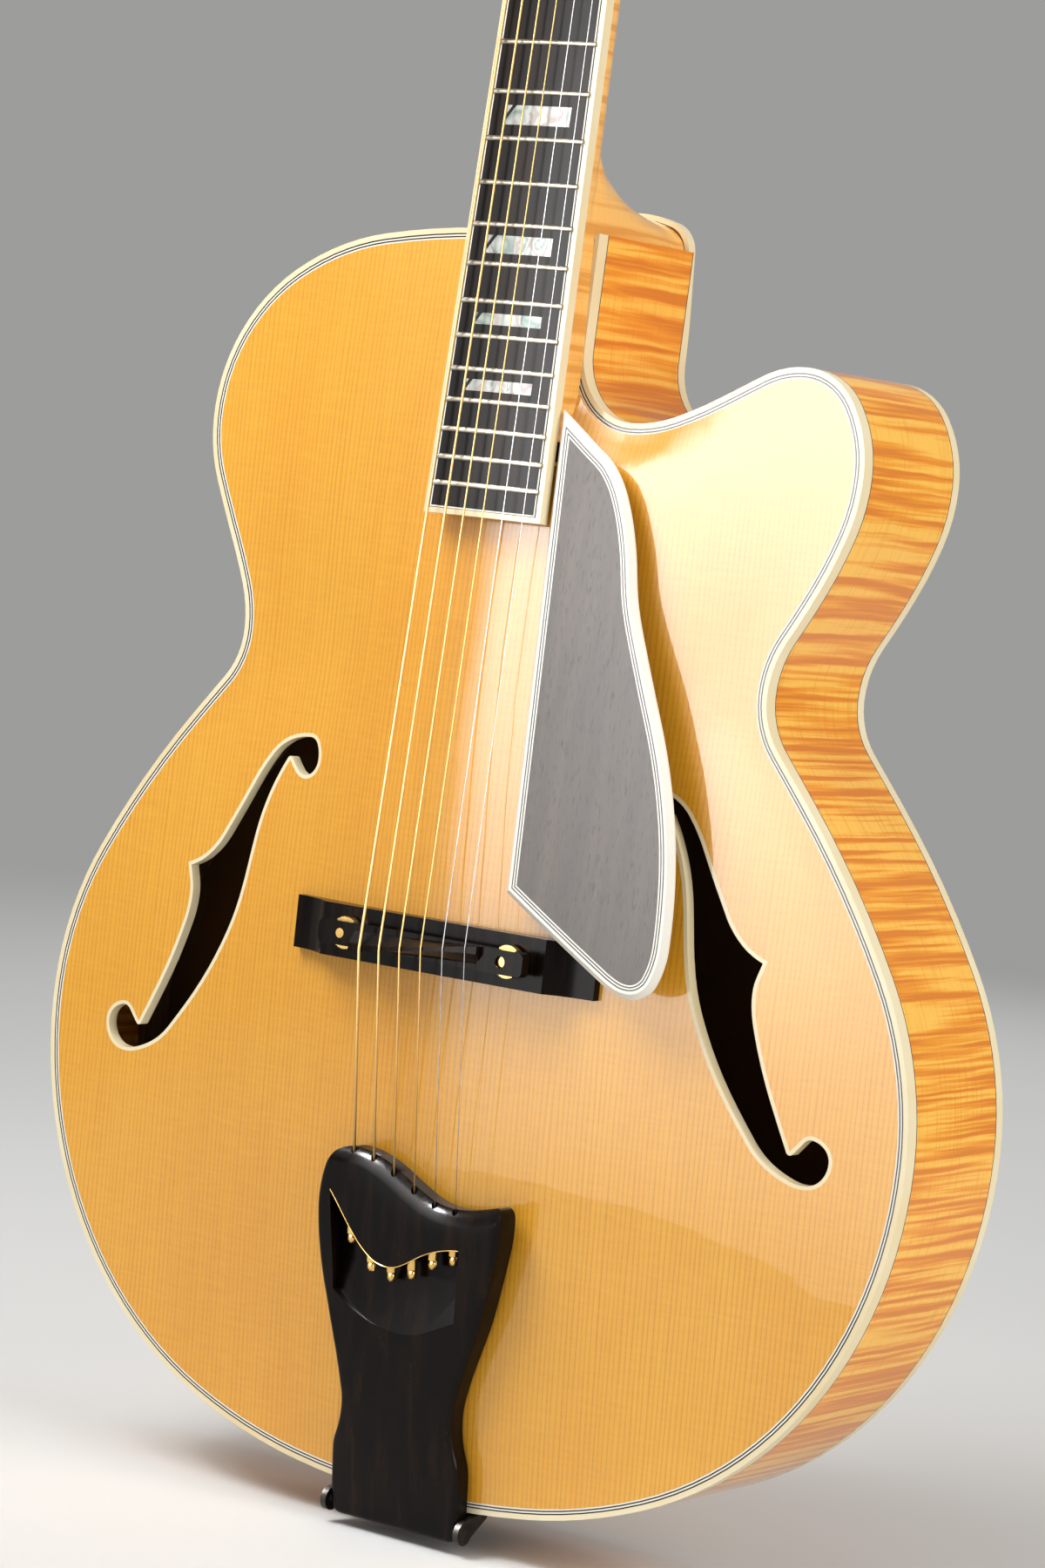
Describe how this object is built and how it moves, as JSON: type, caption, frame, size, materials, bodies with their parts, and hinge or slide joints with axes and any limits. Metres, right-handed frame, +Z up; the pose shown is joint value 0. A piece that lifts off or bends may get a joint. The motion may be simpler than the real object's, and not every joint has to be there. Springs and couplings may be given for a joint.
{
  "type": "archtop guitar",
  "caption": "Hollow archtop guitar with a rounded cutaway, f-holes, raised pickguard, height-set bridge, hinged wooden tailpiece and geared tuners.",
  "frame": {"origin": "middle of the end pin's head, on its axis", "axes": "+Z up along the strings to the headstock, -Y the front with the strings, +X the treble side with the cutaway"},
  "size_m": [0.434, 0.1285, 1.0696],
  "materials": {
    "spruce": "gloss lacquer, fine straight grain",
    "maple": "gloss lacquer, flamed",
    "inside_wood": "bare",
    "ebony": "polished",
    "cream_binding": "gloss",
    "black_line": "gloss",
    "white_line": "gloss",
    "pearl": "pearl",
    "fret_metal": "polished",
    "bone": "satin",
    "gold": "polished",
    "steel": "plain",
    "wound_string": "wound",
    "plain_string": "polished",
    "guard": "satin"
  },
  "bodies": {
    "guitar": {"top_plate": "spruce", "rim_bass": "maple", "rim_treble": "maple", "back_plate": "maple", "neck": "maple", "neck_block": "inside_wood", "end_block": "inside_wood", "kerfed_linings": "inside_wood", "tone_bars": "inside_wood", "fingerboard": "ebony", "bridge_base": "ebony", "headstock_veneer": "ebony", "truss_rod_cover": "ebony", "end_pin": "ebony", "top_binding": "cream_binding", "back_binding": "cream_binding", "f_hole_binding": "cream_binding", "fingerboard_binding": "cream_binding", "black_purfling": "black_line", "pickguard_lines": "black_line", "white_purfling": "white_line", "pickguard_binding": "white_line", "fret_inlays": "pearl", "frets": "fret_metal", "nut": "bone", "bridge_studs": "gold", "tailpiece_bracket": "gold", "tailpiece_hinge_pin": "gold", "bracket_screws": "gold", "headstock_screws": "gold", "tuner_housings": "gold", "tuner_bushings": "gold", "truss_rod": "steel", "string_3": "wound_string", "string_4": "wound_string", "string_5": "wound_string", "string_6": "wound_string", "string_1": "plain_string", "string_2": "plain_string", "pickguard": "guard", "pickguard_supports": "guard"},
    "saddle": {"bridge_saddle": "ebony"},
    "thumbwheel_bass": {"thumbwheel_bass": "gold"},
    "thumbwheel_treble": {"thumbwheel_treble": "gold"},
    "tailpiece": {"tailpiece": "ebony", "tailpiece_ferrules": "gold"},
    "truss_rod_nut": {"truss_rod_nut": "steel"},
    "tuner_1_button": {"tuner_1_button": "gold"},
    "tuner_1_post": {"tuner_1_post": "gold"},
    "tuner_2_button": {"tuner_2_button": "gold"},
    "tuner_2_post": {"tuner_2_post": "gold"},
    "tuner_3_button": {"tuner_3_button": "gold"},
    "tuner_3_post": {"tuner_3_post": "gold"},
    "tuner_4_button": {"tuner_4_button": "gold"},
    "tuner_4_post": {"tuner_4_post": "gold"},
    "tuner_5_button": {"tuner_5_button": "gold"},
    "tuner_5_post": {"tuner_5_post": "gold"},
    "tuner_6_button": {"tuner_6_button": "gold"},
    "tuner_6_post": {"tuner_6_post": "gold"}
  },
  "joints": [
    {"name": "saddle_height", "type": "slide", "parent": "guitar", "child": "saddle", "axis": [0, -1, 0], "range_m": [-0.0014, 0.0028], "deforming": ["string_1", "string_2", "string_3", "string_4", "string_5", "string_6"]},
    {"name": "thumbwheel_bass", "type": "hinge", "parent": "saddle", "child": "thumbwheel_bass", "pos_m": [-0.041, -0.0662, 0.245], "axis": [0, -1, 0], "range_deg": [-720, 1440], "deforming": ["string_1", "string_2", "string_3", "string_4", "string_5", "string_6"]},
    {"name": "thumbwheel_treble", "type": "hinge", "parent": "saddle", "child": "thumbwheel_treble", "pos_m": [0.041, -0.0662, 0.245], "axis": [0, -1, 0], "range_deg": [-720, 1440], "deforming": ["string_1", "string_2", "string_3", "string_4", "string_5", "string_6"]},
    {"name": "tailpiece_hinge", "type": "hinge", "parent": "guitar", "child": "tailpiece", "pos_m": [0, -0.044, 0.007], "axis": [1, 0, 0], "range_deg": [-0.34, 0.68], "deforming": ["string_1", "string_2", "string_3", "string_4", "string_5", "string_6"]},
    {"name": "truss_rod_nut", "type": "hinge", "parent": "guitar", "child": "truss_rod_nut", "pos_m": [0, -0.01675, 0.90667], "axis": [0, 0.061, 0.9981], "range_deg": [-90, 90]},
    {"name": "tuner_1_button", "type": "hinge", "parent": "guitar", "child": "tuner_1_button", "pos_m": [-0.025, 0.00523, 0.93589], "axis": [-1, 0, 0], "range_deg": [-720, 720], "deforming": ["string_6"]},
    {"name": "tuner_1_post", "type": "hinge", "parent": "guitar", "child": "tuner_1_post", "pos_m": [-0.025, -0.00954, 0.94888], "axis": [0, -0.9537, 0.3007], "range_deg": [-45, 45], "deforming": ["string_6"]},
    {"name": "tuner_2_button", "type": "hinge", "parent": "guitar", "child": "tuner_2_button", "pos_m": [-0.025, 0.01756, 0.97499], "axis": [-1, 0, 0], "range_deg": [-720, 720], "deforming": ["string_5"]},
    {"name": "tuner_2_post", "type": "hinge", "parent": "guitar", "child": "tuner_2_post", "pos_m": [-0.025, 0.00278, 0.98799], "axis": [0, -0.9537, 0.3007], "range_deg": [-45, 45], "deforming": ["string_5"]},
    {"name": "tuner_3_button", "type": "hinge", "parent": "guitar", "child": "tuner_3_button", "pos_m": [-0.025, 0.02989, 1.01409], "axis": [-1, 0, 0], "range_deg": [-720, 720], "deforming": ["string_4"]},
    {"name": "tuner_3_post", "type": "hinge", "parent": "guitar", "child": "tuner_3_post", "pos_m": [-0.025, 0.01511, 1.02709], "axis": [0, -0.9537, 0.3007], "range_deg": [-45, 45], "deforming": ["string_4"]},
    {"name": "tuner_4_button", "type": "hinge", "parent": "guitar", "child": "tuner_4_button", "pos_m": [0.025, 0.02989, 1.01409], "axis": [1, 0, 0], "range_deg": [-720, 720], "deforming": ["string_3"]},
    {"name": "tuner_4_post", "type": "hinge", "parent": "guitar", "child": "tuner_4_post", "pos_m": [0.025, 0.01511, 1.02709], "axis": [0, -0.9537, 0.3007], "range_deg": [-45, 45], "deforming": ["string_3"]},
    {"name": "tuner_5_button", "type": "hinge", "parent": "guitar", "child": "tuner_5_button", "pos_m": [0.025, 0.01756, 0.97499], "axis": [1, 0, 0], "range_deg": [-720, 720], "deforming": ["string_2"]},
    {"name": "tuner_5_post", "type": "hinge", "parent": "guitar", "child": "tuner_5_post", "pos_m": [0.025, 0.00278, 0.98799], "axis": [0, -0.9537, 0.3007], "range_deg": [-45, 45], "deforming": ["string_2"]},
    {"name": "tuner_6_button", "type": "hinge", "parent": "guitar", "child": "tuner_6_button", "pos_m": [0.025, 0.00523, 0.93589], "axis": [1, 0, 0], "range_deg": [-720, 720], "deforming": ["string_1"]},
    {"name": "tuner_6_post", "type": "hinge", "parent": "guitar", "child": "tuner_6_post", "pos_m": [0.025, -0.00954, 0.94888], "axis": [0, -0.9537, 0.3007], "range_deg": [-45, 45], "deforming": ["string_1"]}
  ],
  "couplings": [
    {"joint": "thumbwheel_bass", "follows": "saddle_height", "rad_per_m": 8976},
    {"joint": "thumbwheel_treble", "follows": "saddle_height", "rad_per_m": 8976},
    {"joint": "tailpiece_hinge", "follows": "saddle_height", "rad_per_m": 4.2017},
    {"joint": "tuner_1_post", "follows": "tuner_1_button", "ratio": 0.0625},
    {"joint": "tuner_2_post", "follows": "tuner_2_button", "ratio": 0.0625},
    {"joint": "tuner_3_post", "follows": "tuner_3_button", "ratio": 0.0625},
    {"joint": "tuner_4_post", "follows": "tuner_4_button", "ratio": 0.0625},
    {"joint": "tuner_5_post", "follows": "tuner_5_button", "ratio": 0.0625},
    {"joint": "tuner_6_post", "follows": "tuner_6_button", "ratio": 0.0625}
  ]
}
